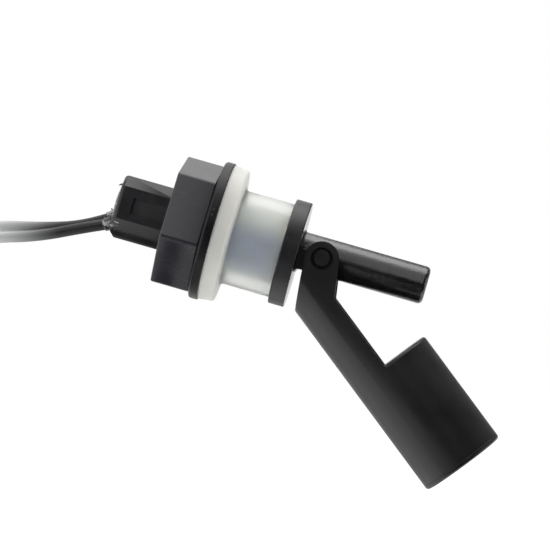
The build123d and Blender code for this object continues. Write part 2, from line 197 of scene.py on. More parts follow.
def addNode(tree, kind, values=None, links=None, **settings):
    made = tree.nodes.new(kind)
    for key, value in settings.items():
        setattr(made, key, value)
    for key, value in (values or {}).items():
        made.inputs[key].default_value = value
    for key, source in (links or {}).items():
        tree.links.new(source, made.inputs[key])
    return made


def joined(tree, first, second, operation, **settings):
    # one math node between two values, each a number or another node's output
    values = {i: v for i, v in enumerate((first, second)) if isinstance(v, (int, float))}
    links = {i: v for i, v in enumerate((first, second)) if i not in values}
    return addNode(tree, "ShaderNodeMath", values, links, operation=operation, **settings).outputs[0]


def ranged(tree, mask, low, high, start=0, end=1, **settings):
    # the mask's values from start to end become low to high
    values = {1: start, 2: end, 3: low, 4: high}
    return addNode(tree, "ShaderNodeMapRange", values, {0: mask}, **settings).outputs[0]


def makeGrainGroup():
    # fine moulded grain over slow waves, as heights, and a slow mask for sheen
    group, start, end = newGroup(
        "mouldGrain",
        [("Place", "NodeSocketVector", None), ("Fine", "NodeSocketFloat", 3000),
         ("Slow", "NodeSocketFloat", 220), ("Wave", "NodeSocketFloat", 0.5)],
        [("Height", "NodeSocketFloat"), ("Sheen", "NodeSocketFloat")],
    )
    fine = addNode(group, "ShaderNodeTexNoise", {"Detail": 3, "Roughness": 0.6},
                   {"Vector": start.outputs["Place"], "Scale": start.outputs["Fine"]})
    slow = addNode(group, "ShaderNodeTexNoise", {"Detail": 2, "Roughness": 0.45},
                   {"Vector": start.outputs["Place"], "Scale": start.outputs["Slow"]})
    wave = joined(group, slow.outputs["Fac"], start.outputs["Wave"], "MULTIPLY")
    group.links.new(joined(group, fine.outputs["Fac"], wave, "ADD"), end.inputs["Height"])
    sheen = ranged(group, slow.outputs["Fac"], 0, 1, 0.3, 0.7)
    group.links.new(sheen, end.inputs["Sheen"])
    return group


def makeFleckGroup():
    # specks of dust in about one cell of seven, and short faint scuffs
    group, start, end = newGroup(
        "flecks",
        [("Place", "NodeSocketVector", None), ("Scale", "NodeSocketFloat", 900),
         ("Size", "NodeSocketFloat", 0.12)],
        [("Dust", "NodeSocketFloat"), ("Scuff", "NodeSocketFloat")],
    )
    cells = addNode(group, "ShaderNodeTexVoronoi", {"Randomness": 1},
                    {"Vector": start.outputs["Place"], "Scale": start.outputs["Scale"]})
    dot = joined(group, cells.outputs["Distance"], start.outputs["Size"], "LESS_THAN")
    chosen = addNode(group, "ShaderNodeSeparateColor", None, {0: cells.outputs["Color"]})
    few = joined(group, chosen.outputs[0], 0.86, "GREATER_THAN")
    group.links.new(joined(group, dot, few, "MULTIPLY"), end.inputs["Dust"])
    drawn = addNode(group, "ShaderNodeMapping", {"Rotation": (0.3, 0.9, 0.2), "Scale": (160, 2600, 2600)},
                    {"Vector": start.outputs["Place"]})
    lines = addNode(group, "ShaderNodeTexNoise", {"Scale": 1, "Detail": 2}, {"Vector": drawn.outputs[0]})
    scuff = ranged(group, lines.outputs["Fac"], 0, 1, 0.66, 0.74)
    group.links.new(scuff, end.inputs["Scuff"])
    return group


grainGroup = makeGrainGroup()
fleckGroup = makeFleckGroup()


def newFinish(name, **sockets):
    finish = bpy.data.materials.new(name)
    finish.use_nodes = True
    tree = finish.node_tree
    shader = tree.nodes["Principled BSDF"]
    for key, value in sockets.items():
        shader.inputs[key.replace("_", " ")].default_value = value
    place = addNode(tree, "ShaderNodeTexCoord").outputs["Object"]
    return finish, tree, shader, place


def grained(tree, shader, place, fine, slow, depth, wave=0.5):
    grain = addNode(tree, "ShaderNodeGroup", node_tree=grainGroup)
    grain.inputs["Fine"].default_value = fine
    grain.inputs["Slow"].default_value = slow
    grain.inputs["Wave"].default_value = wave
    tree.links.new(place, grain.inputs["Place"])
    bump = addNode(tree, "ShaderNodeBump", {"Strength": 1, "Distance": depth * mm},
                   {"Height": grain.outputs["Height"]})
    tree.links.new(bump.outputs[0], shader.inputs["Normal"])
    return grain.outputs["Sheen"]


def blended(tree, mask, low, high):
    mix = addNode(tree, "ShaderNodeMix", None, {0: mask}, data_type="RGBA")
    for socket, value in ((mix.inputs[6], low), (mix.inputs[7], high)):
        if isinstance(value, tuple):
            socket.default_value = (*value, 1)
        else:
            tree.links.new(value, socket)
    return mix.outputs[2]


def painted(tree, shader, sheen, base, rough):
    tree.links.new(base, shader.inputs["Base Color"])
    tree.links.new(ranged(tree, sheen, *rough), shader.inputs["Roughness"])


def bandMask(tree, place, start, end):
    # 1 between two places along the stem
    along = addNode(tree, "ShaderNodeSeparateXYZ", None, {0: place}).outputs["X"]
    past = joined(tree, along, start * mm, "GREATER_THAN")
    short = joined(tree, along, end * mm, "LESS_THAN")
    return joined(tree, past, short, "MULTIPLY")


def paintedMilkLight(tree, place, base, values):
    # the neck inside the seal, painted with the light that the milky silicone over it scatters: a bluish deep
    # tone, painted paler in clouds, towards its top where the top light falls, towards its bottom and its end
    # at the disc, and at its rim where it is seen at a slant
    axes = addNode(tree, "ShaderNodeSeparateXYZ", None, {0: place})
    cloud = addNode(tree, "ShaderNodeTexNoise",
                    {"Scale": values["cloudScale"], "Detail": 2, "Roughness": 0.4}, {"Vector": place})
    pale = ranged(tree, cloud.outputs["Fac"], *values["cloud"])
    # painted light: paler towards the neck's top, its bottom and its end at the disc
    for axis, start, end, share in values["paler"]:
        ramp = ranged(tree, axes.outputs[axis], 0, share, start * mm, end * mm,
                      interpolation_type="SMOOTHSTEP")
        pale = joined(tree, pale, ramp, "ADD")
    # painted paleness at the neck's rim, which grows with the viewing angle
    facing = addNode(tree, "ShaderNodeLayerWeight", {"Blend": 0.5}).outputs["Facing"]
    rim = joined(tree, facing, values["rim"], "MULTIPLY")
    pale = joined(tree, pale, rim, "ADD", use_clamp=True)
    seen = blended(tree, pale, values["deep"], values["paintedMilkTone"])
    return blended(tree, bandMask(tree, place, *values["band"]), base, seen)


dustColour = (0.45, 0.45, 0.44)


def makePlastic(name, values):
    # dark moulded plastic: grain, slow changes of sheen, a little dust and a few scuffs, and on the stem
    # painted light on the neck under the seal
    finish, tree, shader, place = newFinish(
        name, IOR=1.5, Coat_Weight=values.get("coat", 0), Coat_Roughness=0.2,
        Specular_IOR_Level=values.get("gloss", 0.5),
    )
    sheen = grained(tree, shader, place, values["fine"], values["slow"], values["depth"])
    flecks = addNode(tree, "ShaderNodeGroup", node_tree=fleckGroup)
    flecks.inputs["Scale"].default_value = values["dustScale"]
    flecks.inputs["Size"].default_value = values["dustSize"]
    tree.links.new(place, flecks.inputs["Place"])
    base = blended(tree, sheen, values["dark"], values["light"])
    scuffed = joined(tree, flecks.outputs["Scuff"], values["scuff"], "MULTIPLY")
    base = blended(tree, scuffed, base, values["scuffColour"])
    dusted = joined(tree, flecks.outputs["Dust"], values["dust"], "MULTIPLY")
    base = blended(tree, dusted, base, dustColour)
    # painted light on the neck under the seal, in place of its own black
    if "neck" in values:
        base = paintedMilkLight(tree, place, base, values["neck"])
    painted(tree, shader, sheen, base, values["rough"])
    return finish


stemPlastic = makePlastic("stemPlastic", {
    "dark": (0.009, 0.009, 0.011), "light": (0.015, 0.0145, 0.0175), "rough": (0.3, 0.4), "fine": 3600,
    "slow": 260, "depth": 0.012, "dustScale": 700, "dustSize": 0.06, "dust": 0.3, "scuff": 0.25,
    "scuffColour": (0.06, 0.06, 0.065),
    # painted light on the neck under the seal: a bluish deep tone, painted paler in clouds, at its top,
    # bottom, disc end and rim
    "neck": {
        "band": (-1.5, 10.45), "deep": (0.0, 0.045, 0.25), "paintedMilkTone": (0.56, 0.585, 0.55), "cloudScale": 260,
        "cloud": (-0.5, 0.45), "rim": 0.35,
        "paler": [("Z", 0.5, 4.5, 0.7), ("Z", -2.5, -6.5, 0.25), ("X", 8, 9.6, 0.35)],
    },
})
rodPlastic = makePlastic("rodPlastic", {
    "dark": (0.006, 0.006, 0.007), "light": (0.010, 0.010, 0.011), "rough": (0.19, 0.27), "fine": 2000,
    "slow": 130, "depth": 0.08, "dustScale": 700, "dustSize": 0.06, "dust": 0.2, "scuff": 0.3,
    "scuffColour": (0.06, 0.06, 0.065), "coat": 0.6, "gloss": 0.8,
})
nutPlastic = makePlastic("nutPlastic", {
    "dark": (0.020, 0.020, 0.026), "light": (0.028, 0.028, 0.036), "rough": (0.22, 0.3), "fine": 2600,
    "slow": 120, "depth": 0.008, "dustScale": 600, "dustSize": 0.06, "dust": 0.2, "scuff": 0.3,
    "scuffColour": (0.07, 0.07, 0.08), "gloss": 0.8,
})
washerPlastic = makePlastic("washerPlastic", {
    "dark": (0.006, 0.006, 0.007), "light": (0.010, 0.010, 0.011), "rough": (0.3, 0.4), "fine": 3200,
    "slow": 300, "depth": 0.015, "dustScale": 900, "dustSize": 0.13, "dust": 0.25, "scuff": 0.2,
    "scuffColour": (0.06, 0.06, 0.06), "gloss": 0.33,
})
floatPlastic = makePlastic("floatPlastic", {
    "dark": (0.008, 0.008, 0.0085), "light": (0.011, 0.011, 0.0115), "rough": (0.34, 0.42), "fine": 4200,
    "slow": 150, "depth": 0.01, "dustScale": 650, "dustSize": 0.06, "dust": 0.2, "scuff": 0.15,
    "scuffColour": (0.05, 0.05, 0.05),
})
tiePlastic = makePlastic("tiePlastic", {
    "dark": (0.012, 0.012, 0.012), "light": (0.02, 0.02, 0.02), "rough": (0.4, 0.5), "fine": 3000,
    "slow": 300, "depth": 0.01, "dustScale": 900, "dustSize": 0.1, "dust": 0.3, "scuff": 0.3,
    "scuffColour": (0.08, 0.08, 0.08),
})


def makeVinyl(name, values):
    # soft lead jacket, grey, painted black near the stem as painted shade from the black stem, which fades
    # out away from it
    finish, tree, shader, place = newFinish(name, IOR=1.46, Coat_Weight=0.05, Coat_Roughness=0.25)
    sheen = grained(tree, shader, place, *values["grain"])
    base = blended(tree, sheen, values["dark"], values["light"])
    along = addNode(tree, "ShaderNodeSeparateXYZ", None, {0: place}).outputs["X"]
    start, end = (x * mm for x in values["stemShadeSpan"])
    # painted shade: black near the stem, fading to the lead's grey away from it
    unshadedShare = ranged(tree, along, 0, values["unshadedShare"], start, end, interpolation_type="SMOOTHSTEP")
    base = blended(tree, unshadedShare, base, values["leadGrey"])
    painted(tree, shader, sheen, base, values["rough"])
    return finish


def makeGlue(name, values):
    # hot glue, clear over the black plastic and painted near black for the plastic seen through it, with
    # whitish lines that are painted glints
    finish, tree, shader, place = newFinish(name, IOR=1.48, Transmission_Weight=0.4)
    sheen = grained(tree, shader, place, *values["grain"])
    drawn = addNode(tree, "ShaderNodeMapping", {"Rotation": values["turned"], "Scale": values["stretched"]},
                    {"Vector": place})
    swirl = addNode(tree, "ShaderNodeTexNoise", {"Scale": 1, "Detail": 1, "Distortion": 0.6},
                    {"Vector": drawn.outputs[0]})
    # painted glints: whitish lines along the stretched swirl
    paintedGlint = ranged(tree, swirl.outputs["Fac"], 0, 1, *values["paintedGlintRange"])
    base = blended(tree, paintedGlint, values["dark"], values["light"])
    painted(tree, shader, sheen, base, values["rough"])
    return finish


def makeTwoTone(name, values, **sockets):
    # a grained finish whose tone and roughness change slowly, with marks along X where it is stretched
    finish, tree, shader, place = newFinish(name, **sockets)
    if "stretched" in values:
        drawn = addNode(tree, "ShaderNodeMapping", {"Scale": values["stretched"]}, {"Vector": place})
        place = drawn.outputs[0]
    sheen = grained(tree, shader, place, *values["grain"])
    base = blended(tree, sheen, values["dark"], values["light"])
    painted(tree, shader, sheen, base, values["rough"])
    return finish


def makeSilicone(name, values):
    # milky silicone: red light goes in deepest, so it is cream at its edges; the bluish look over the dark
    # neck is mostly painted light on the neck
    return makeTwoTone(
        name, values, IOR=values["ior"], Subsurface_Weight=1.0, Subsurface_Radius=values["depths"],
        Subsurface_Scale=values["depth"] * mm, Transmission_Weight=values["clear"], Specular_IOR_Level=0.7,
        Sheen_Weight=values["sheen"], Sheen_Roughness=0.35, Sheen_Tint=(1, 0.98, 0.92, 1),
        Coat_Weight=values["coat"], Coat_Roughness=0.4,
    )


# the lead's grey, with painted shade that makes it black near the stem
leadVinyl = makeVinyl("leadVinyl", {
    "dark": (0.006, 0.006, 0.007), "light": (0.012, 0.012, 0.013), "rough": (0.34, 0.5),
    "grain": (2200, 380, 0.02, 1.2), "leadGrey": (0.80, 0.81, 0.81), "unshadedShare": 0.94, "stemShadeSpan": (-33.5, -50.5),
})
flangeSilicone = makeSilicone("flangeSilicone", {
    "dark": (0.735, 0.738, 0.70), "light": (0.80, 0.79, 0.735), "rough": (0.4, 0.52),
    "grain": (1800, 160, 0.012, 1.0), "ior": 1.3, "depths": (1.0, 1.0, 1.0), "depth": 2, "clear": 0.0,
    "sheen": 0.0, "coat": 0.0,
})
barrelSilicone = makeSilicone("barrelSilicone", {
    "dark": (0.84, 0.85, 0.81), "light": (0.92, 0.92, 0.87), "rough": (0.6, 0.8),
    "grain": (1800, 160, 0.012, 1.0), "ior": 1.08, "depths": (1.0, 0.75, 0.6), "depth": 20, "clear": 0.74,
    "sheen": 0.5, "coat": 0.8,
})
# the glue painted near black for the plastic seen through it, its whitish lines painted glints
hotGlue = makeGlue("hotGlue", {
    "dark": (0.03, 0.03, 0.031), "light": (0.8, 0.8, 0.78), "rough": (0.12, 0.32),
    "grain": (300, 500, 0.01, 1.0), "turned": (0, 0.9, 0.3), "stretched": (260, 900, 900),
    "paintedGlintRange": (0.52, 0.66),
})
tinnedCopper = makeTwoTone("tinnedCopper", {
    "dark": (0.52, 0.5, 0.47), "light": (0.74, 0.72, 0.68), "rough": (0.25, 0.42), "grain": (3000, 700, 0.01),
    "stretched": (0.3, 1, 1),
}, Metallic=1.0)
bladeMetal = makeTwoTone("bladeMetal", {
    "dark": (0.45, 0.43, 0.4), "light": (0.6, 0.58, 0.54), "rough": (0.2, 0.35), "grain": (3000, 700, 0.01),
    "stretched": (0.15, 1, 1),
}, Metallic=1.0)
solderMetal = makeTwoTone("solderMetal", {
    "dark": (0.42, 0.42, 0.42), "light": (0.62, 0.62, 0.61), "rough": (0.22, 0.5), "grain": (3000, 700, 0.01),
}, Metallic=1.0)
ferrite = makeTwoTone("ferrite", {
    "dark": (0.05, 0.05, 0.052), "light": (0.1, 0.1, 0.1), "rough": (0.45, 0.65), "grain": (3000, 700, 0.01),
}, Metallic=1.0)
castResin = makeTwoTone("castResin", {
    "dark": (0.012, 0.011, 0.01), "light": (0.03, 0.028, 0.024), "rough": (0.12, 0.24),
    "grain": (500, 260, 0.1, 2.0),
}, IOR=1.55)
reedGlass = makeTwoTone("reedGlass", {
    "dark": (0.80, 0.93, 0.84), "light": (0.86, 0.96, 0.9), "rough": (0.02, 0.06),
    "grain": (600, 300, 0.01, 1.0),
}, IOR=1.47, Transmission_Weight=1.0)
print("finishes made")


# keeping a piece


def keepPiece(name, made, body, finishes, replaced=(), smooth=38, scale=mm, flatWeights=True):
    if scale != 1:
        bmesh.ops.scale(made, vec=(scale, scale, scale), verts=made.verts[:])
    mesh = meshFrom(name, made)
    for finish in finishes:
        mesh.materials.append(finish)
    mesh.shade_smooth()
    mesh.set_sharp_from_angle(angle=math.radians(smooth))
    piece = linkedItem(name, mesh)
    if flatWeights:
        weights = piece.modifiers.new("flatWeights", "WEIGHTED_NORMAL")
        weights.keep_sharp = True
    if body:
        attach(piece, body)
    if replaced:
        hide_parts(*replaced)
    return piece


def copyOfNode(node):
    # a CAD node's loose triangles joined up, with its flat faces whole again
    made = bmesh.new()
    made.from_mesh(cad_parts[node].data)
    bmesh.ops.remove_doubles(made, verts=made.verts[:], dist=closeness["node"] * mm)
    bmesh.ops.dissolve_limit(made, angle_limit=math.radians(closeness["flatAngle"]), verts=made.verts[:],
                             edges=made.edges[:], use_dissolve_boundaries=False)
    return made


edgeValues = {"segments": 2, "sharpFrom": 50, "tie": 0.1, "floatShell": 0.16, "floatCap": 0.08}


def softEdges(piece, width):
    # a small radius on each sharp edge, as a mould leaves it
    rounding = piece.modifiers.new("softEdges", "BEVEL")
    rounding.width = width * mm
    rounding.segments = edgeValues["segments"]
    rounding.limit_method = "ANGLE"
    rounding.angle_limit = math.radians(edgeValues["sharpFrom"])
    rounding.use_clamp_overlap = True
    piece.modifiers.move(len(piece.modifiers) - 1, 0)


def turnedRing(values):
    # a closed (x, radius) profile, its corners rounded, then spun about the stem's axis
    made = bmesh.new()
    corners = [made.verts.new((x, 0, r)) for x, r in values["profile"]]
    for a, b in zip(corners, corners[1:] + corners[:1]):
        made.edges.new((a, b))
    for index, size, count in values["rounds"]:
        bmesh.ops.bevel(made, geom=[corners[index]], offset=size, offset_type="OFFSET", segments=count,
                        profile=0.5, affect="VERTICES", material=-1)
    bmesh.ops.spin(made, geom=made.verts[:] + made.edges[:], cent=(0, 0, 0), axis=(1, 0, 0),
                   angle=2 * math.pi, steps=values["steps"], use_merge=True)
    bmesh.ops.remove_doubles(made, verts=made.verts[:], dist=closeness["ring"])
    bmesh.ops.recalc_face_normals(made, faces=made.faces[:])
    return made


# leads and what is on them

upperLead = layLead("upperLead", 1, leadValues["upper"], leadVinyl, leadValues)
lowerLead = layLead("lowerLead", -1, leadValues["lower"], leadVinyl, leadValues)
for lead, word in ((upperLead, "upper"), (lowerLead, "lower")):
    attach(lead, "sensor_body")
    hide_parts(f"{word}_lead", f"{word}_lead_coil", f"{word}_lead_tail")

tinnedValues = {
    "strands": 7, "sidesPerStrand": 6, "valley": 0.36, "lobe": 0.09, "twist": 420, "rings": 28, "length": 5.9,
    "tipRings": 3, "tipShrink": 0.86,
}


def makeTinnedEnd(side, values):
    # seven strands twisted together and wetted into one by the tin
    made = bmesh.new()
    y = side * (leadValues["apart"] + leadValues["pitch"])
    before, end = (Vector((x, y, z)) for x, z in leadValues["tail"])
    along = (end - before).normalized()
    sides = values["strands"] * values["sidesPerStrand"]
    ring = bmesh.ops.create_circle(made, cap_ends=True, segments=sides, radius=1)["verts"]
    for vert in ring:
        turn = math.atan2(vert.co.y, vert.co.x)
        lobe = abs(math.cos(turn * values["strands"] / 2))
        vert.co = vert.co.normalized() * (values["valley"] + values["lobe"] * lobe)
    face = made.faces[:]
    step = values["length"] / values["rings"]
    for index in range(values["rings"]):
        made.faces.ensure_lookup_table()
        grown = bmesh.ops.extrude_face_region(made, geom=face)["geom"]
        verts = newVerts(grown)
        face = [g for g in grown if isinstance(g, bmesh.types.BMFace)]
        bmesh.ops.translate(made, vec=(0, 0, step), verts=verts)
        bmesh.ops.rotate(made, cent=(0, 0, 0), verts=verts,
                         matrix=Matrix.Rotation(math.radians(values["twist"] / values["rings"]), 3, "Z"))
        if index >= values["rings"] - values["tipRings"]:
            bmesh.ops.scale(made, vec=(values["tipShrink"], values["tipShrink"], 1), verts=verts)
    bmesh.ops.recalc_face_normals(made, faces=made.faces[:])
    stand = Matrix.Translation(end) @ along.to_track_quat("Z", "Y").to_matrix().to_4x4()
    bmesh.ops.transform(made, matrix=stand, verts=made.verts[:])
    return made


upperEnd = keepPiece("upperTinnedEnd", makeTinnedEnd(1, tinnedValues), "sensor_body", [tinnedCopper],
                     ["upper_tinned_end"])
lowerEnd = keepPiece("lowerTinnedEnd", makeTinnedEnd(-1, tinnedValues), "sensor_body", [tinnedCopper],
                     ["lower_tinned_end"])
coilTie = keepPiece("coilTie", copyOfNode("coil_tie"), "sensor_body", [tiePlastic],
                    ["coil_tie"], scale=1)
softEdges(coilTie, edgeValues["tie"])
print("leads laid")


# stem

threadValues = {
    "pitch": 2.0, "root": 6.9, "crest": 7.95, "crestWidth": 0.3, "rootWidth": 0.3,
    "back": -13.45, "front": -1.6, "stepsPerTurn": 72, "runIn": 0.8, "runInRise": 1.05, "closedAt": 6.75,
    "startBefore": 1.5, "spareTurns": 2, "smooth": 28,
}


def helix(values, root, crest, phase, start, end):
    # one pitch of the thread's profile, spun forward along the stem from before its start to past its end
    pitch = values["pitch"]
    flank = (pitch - values["crestWidth"] - values["rootWidth"]) / 2
    rise = values["rootWidth"] + flank
    turns = math.ceil((end - start) / pitch) + values["spareTurns"]
    first = start - values["startBefore"] * pitch + phase
    profile = [(0, root), (values["rootWidth"], root), (rise, crest), (rise + values["crestWidth"], crest),
               (pitch, root)]
    made = bmesh.new()
    verts = [made.verts.new((first + x, 0, r)) for x, r in profile]
    edges = [made.edges.new(pair) for pair in zip(verts, verts[1:])]
    steps = turns * values["stepsPerTurn"]
    bmesh.ops.spin(made, geom=verts + edges, cent=(0, 0, 0), axis=(1, 0, 0), angle=2 * math.pi * turns,
                   steps=steps, dvec=(pitch / values["stepsPerTurn"], 0, 0), use_merge=False)
    bmesh.ops.remove_doubles(made, verts=made.verts[:], dist=closeness["thread"])
    return made


def cutEnds(made, start, end):
    for x, way in ((start, -1), (end, 1)):
        bmesh.ops.bisect_plane(made, geom=made.verts[:] + made.edges[:] + made.faces[:],
                               dist=closeness["cut"], plane_co=(x, 0, 0), plane_no=(way, 0, 0),
                               clear_outer=True)
    return made


def closeEnds(made, radius):
    # brings the open ends to one radius, so that they end inside the neck or the nut's wall
    rims = [e for e in made.edges if e.is_boundary]
    grown = bmesh.ops.extrude_edge_only(made, edges=rims)["geom"]
    for vert in newVerts(grown):
        scaleReach(vert, radius / math.hypot(vert.co.y, vert.co.z))
    bmesh.ops.recalc_face_normals(made, faces=made.faces[:])
    return made


def makeThread(root, crest, phase, start, end, closedAt):
    return closeEnds(cutEnds(helix(threadValues, root, crest, phase, start, end), start, end), closedAt)


stemThread = makeThread(threadValues["root"], threadValues["crest"], 0, threadValues["back"],
                        threadValues["front"], threadValues["closedAt"])
for vert in stemThread.verts:
    # the thread runs out at each end
    inset = min(vert.co.x - threadValues["back"], threadValues["front"] - vert.co.x)
    limit = threadValues["root"] + max(0, inset) / threadValues["runIn"] * threadValues["runInRise"]
    reach = math.hypot(vert.co.y, vert.co.z)
    if reach > limit:
        scaleReach(vert, limit / reach)
keepPiece("stemThread", stemThread, "sensor_body", [stemPlastic],
          smooth=threadValues["smooth"], flatWeights=False)

coreValues = {"back": -13.6, "front": -1.5, "inner": 7.2, "outer": 8.1, "radius": 6.8}
rodValues = {
    "start": 14.0, "rise": 1.18, "reach": 4.4, "tip": 39.6, "discFace": 13.9, "discSlack": 0.05,
    "outward": 0.8, "forward": 0.9, "edges": 0.14,
}
stemMesh = copyOfNode("stem_body")
for vert in stemMesh.verts:
    # the plain cylinder shrinks to the core inside the modelled thread
    reach = math.hypot(vert.co.y, vert.co.z) / mm
    along = vert.co.x / mm
    if coreValues["back"] < along < coreValues["front"] and coreValues["inner"] < reach < coreValues["outer"]:
        scaleReach(vert, coreValues["radius"] / reach)
for face in stemMesh.faces:
    # the rod and the disc's front face are glossier than the rest
    middle = face.calc_center_median() / mm
    out = Vector((0, middle.y, middle.z - rodValues["rise"]))
    nearRod = middle.x > rodValues["start"] and out.length < rodValues["reach"]
    onRod = nearRod and face.normal.dot(out) > rodValues["outward"] * out.length
    atDisc = abs(middle.x - rodValues["discFace"]) < rodValues["discSlack"]
    onDisc = atDisc and face.normal.x > rodValues["forward"]
    face.material_index = int(onRod or onDisc or middle.x > rodValues["tip"])
stemBody = keepPiece("stemBody", stemMesh, "sensor_body", [stemPlastic, rodPlastic],
                     ["stem_body"], scale=1)
softEdges(stemBody, rodValues["edges"])
print("stem made")


# seal, washer and nut


def sharePast(value, start, end):
    return max(0, value - start) / (end - start)


sealValues = {
    "profile": [(-3.5, 8.15), (-3.5, 14.2), (0, 13.8), (0, 9.8), (10.5, 9.85), (10.5, 6.95), (-1.45, 6.95),
                (-1.45, 8.15)],
    "rounds": [(1, 0.15, 3), (2, 0.45, 6), (3, 0.8, 5), (4, 0.25, 3)], "steps": 160,
    "longEdge": 2, "cuts": 11, "thick": 3.5,
    "lean": 0.1, "leanFrom": 9.0, "leanTo": 14.0, "dish": 0.25, "dishFrom": 10.7, "dishTo": 13.5,
    "clearFrom": -0.3, "clearReach": 11.3,
}
sealMesh = turnedRing(sealValues)
lengthEdges = [e for e in sealMesh.edges if abs(e.verts[0].co.x - e.verts[1].co.x) > sealValues["longEdge"]]
bmesh.ops.subdivide_edges(sealMesh, edges=lengthEdges, cuts=sealValues["cuts"], use_grid_fill=True)
for vert in sealMesh.verts:
    # the soft flange leans back a little at its top, and its front is slightly dished
    high = sharePast(vert.co.z, sealValues["leanFrom"], sealValues["leanTo"])
    wide = sharePast(math.hypot(vert.co.y, vert.co.z), sealValues["dishFrom"], sealValues["dishTo"])
    back = sealValues["lean"] * high + sealValues["dish"] * wide
    vert.co.x -= back * min(1, sharePast(vert.co.x, -sealValues["thick"], 0))
for face in sealMesh.faces:
    # the barrel and the flange's root round it are the clearer silicone
    middle = face.calc_center_median()
    reach = math.hypot(middle.y, middle.z)
    face.material_index = int(middle.x > sealValues["clearFrom"] and reach < sealValues["clearReach"])
sealBush = keepPiece("sealBush", sealMesh, None, [flangeSilicone, barrelSilicone], ["seal_bush"])
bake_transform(sealBush)

washerValues = {
    "profile": [(-3.5, 8.1), (-3.5, 14.45), (-5.15, 14.45), (-5.5, 14.1), (-5.5, 8.1)],
    "rounds": [(1, 0.18, 3), (2, 0.2, 3), (3, 0.15, 3), (4, 0.15, 2), (0, 0.15, 2)], "steps": 128,
}
keepPiece("slipWasher", turnedRing(washerValues), "washer", [washerPlastic],
          ["slip_washer"])

nutValues = {
    "sides": 6, "acrossFlats": 24.0, "back": -13.65, "front": -5.55, "lean": 13.4,
    "cornerRound": 0.65, "cornerSteps": 4, "rimRound": 0.35, "rimSteps": 3, "rimReach": 11.5,
    "bore": 8.12, "boreSides": 96, "boreChamfer": 0.5, "boreSlack": 0.1,
    "threadRoot": 8.1, "threadCrest": 7.05, "threadInset": 0.5, "threadSink": 0.3, "threadPhase": 1.0,
}


def makeNut(values):
    made = bmesh.new()
    facing = Matrix(((0, 0, 1), (1, 0, 0), (0, 1, 0))).to_4x4()
    turnedFace = Matrix.Rotation(math.radians(-values["lean"]), 4, "X") @ facing
    bmesh.ops.create_circle(made, cap_ends=False, segments=values["sides"],
                            radius=values["acrossFlats"] / math.sqrt(3), matrix=turnedFace)
    bmesh.ops.bevel(made, geom=made.verts[:], offset=values["cornerRound"], offset_type="OFFSET",
                    segments=values["cornerSteps"], profile=0.5, affect="VERTICES", material=-1)
    bmesh.ops.create_circle(made, cap_ends=False, segments=values["boreSides"], radius=values["bore"],
                            matrix=facing)
    bmesh.ops.bridge_loops(made, edges=made.edges[:])
    bmesh.ops.translate(made, vec=(values["back"], 0, 0), verts=made.verts[:])
    grown = bmesh.ops.extrude_face_region(made, geom=made.faces[:])["geom"]
    bmesh.ops.translate(made, vec=(values["front"] - values["back"], 0, 0), verts=newVerts(grown))
    bmesh.ops.recalc_face_normals(made, faces=made.faces[:])
    level = [e for e in made.edges if abs(e.verts[0].co.x - e.verts[1].co.x) < closeness["level"]]
    far = {e: [math.hypot(v.co.y, v.co.z) for v in e.verts] for e in level}
    rims = [e for e, r in far.items() if min(r) > values["rimReach"]]
    mouths = [e for e, r in far.items() if max(r) < values["bore"] + values["boreSlack"]]
    bmesh.ops.bevel(made, geom=rims, offset=values["rimRound"], offset_type="OFFSET",
                    segments=values["rimSteps"], profile=0.5, affect="EDGES", material=-1)
    bmesh.ops.bevel(made, geom=[e for e in mouths if e.is_valid], offset=values["boreChamfer"],
                    offset_type="OFFSET", segments=1, profile=0.5, affect="EDGES", material=-1)
    return made


keepPiece("hexNut", makeNut(nutValues), "nut", [nutPlastic], ["hex_nut"])
nutThreadEnds = (nutValues["back"] + nutValues["threadInset"], nutValues["front"] - nutValues["threadInset"])
nutThread = makeThread(nutValues["threadRoot"], nutValues["threadCrest"], nutValues["threadPhase"],
                       *nutThreadEnds, nutValues["bore"] + nutValues["threadSink"])
keepPiece("nutThread", nutThread, "nut", [nutPlastic], smooth=threadValues["smooth"],
          flatWeights=False)
print("seal, washer and nut made")


# float

floatShell = keepPiece("floatShell", copyOfNode("float_shell"), "float", [floatPlastic],
                       ["float_shell"], scale=1)
softEdges(floatShell, edgeValues["floatShell"])
floatCap = keepPiece("floatCap", copyOfNode("float_cap"), "float", [floatPlastic],
                     ["float_cap"], scale=1)
softEdges(floatCap, edgeValues["floatCap"])
print("float made")


# glue at the leads

glueValues = {
    "pool": {"at": (-24.35, 0, -0.4), "size": (0.72, 4.9, 4.9), "lean": 0},
    "tab": {"at": (-24.9, 0.1, 4.05), "size": (0.8, 0.3, 0.2), "lean": 30},
    "web": {"at": (-24.7, 0, -3.4), "size": (1.1, 1.5, 1.9), "lean": 0},
    "leads": [(1, "upper", 33.7), (-1, "lower", 24)], "collar": (1.9, 1.38, 1.38), "collarOut": 0.9,
    "smears": [
        {"at": (-23.6, -4.5, -3.95), "size": (1.1, 0.75, 0.3), "lean": 0, "roll": -37.6},
        {"at": (-24.0, -3.3, -4.3), "size": (1.0, 1.1, 0.6), "lean": 20, "roll": -37.6},
    ],
    "lips": [(0.35, 1.95), (1.5, 1.5)], "lipThick": 0.35, "ripple": 0.06, "rippleScale": 0.8, "rippleSeed": 3,
    "face": -24.1, "smooth": 60, "voxel": 0.11, "smoothing": 12,
}


def addBlob(made, at, size, lean, roll=0):
    turned = Matrix.Rotation(math.radians(-lean), 4, "Y") @ Matrix.Rotation(math.radians(roll), 4, "X")
    shape = Matrix.Translation(at) @ turned @ Matrix.Diagonal((*size, 1))
    bmesh.ops.create_icosphere(made, subdivisions=4, radius=1, matrix=shape)


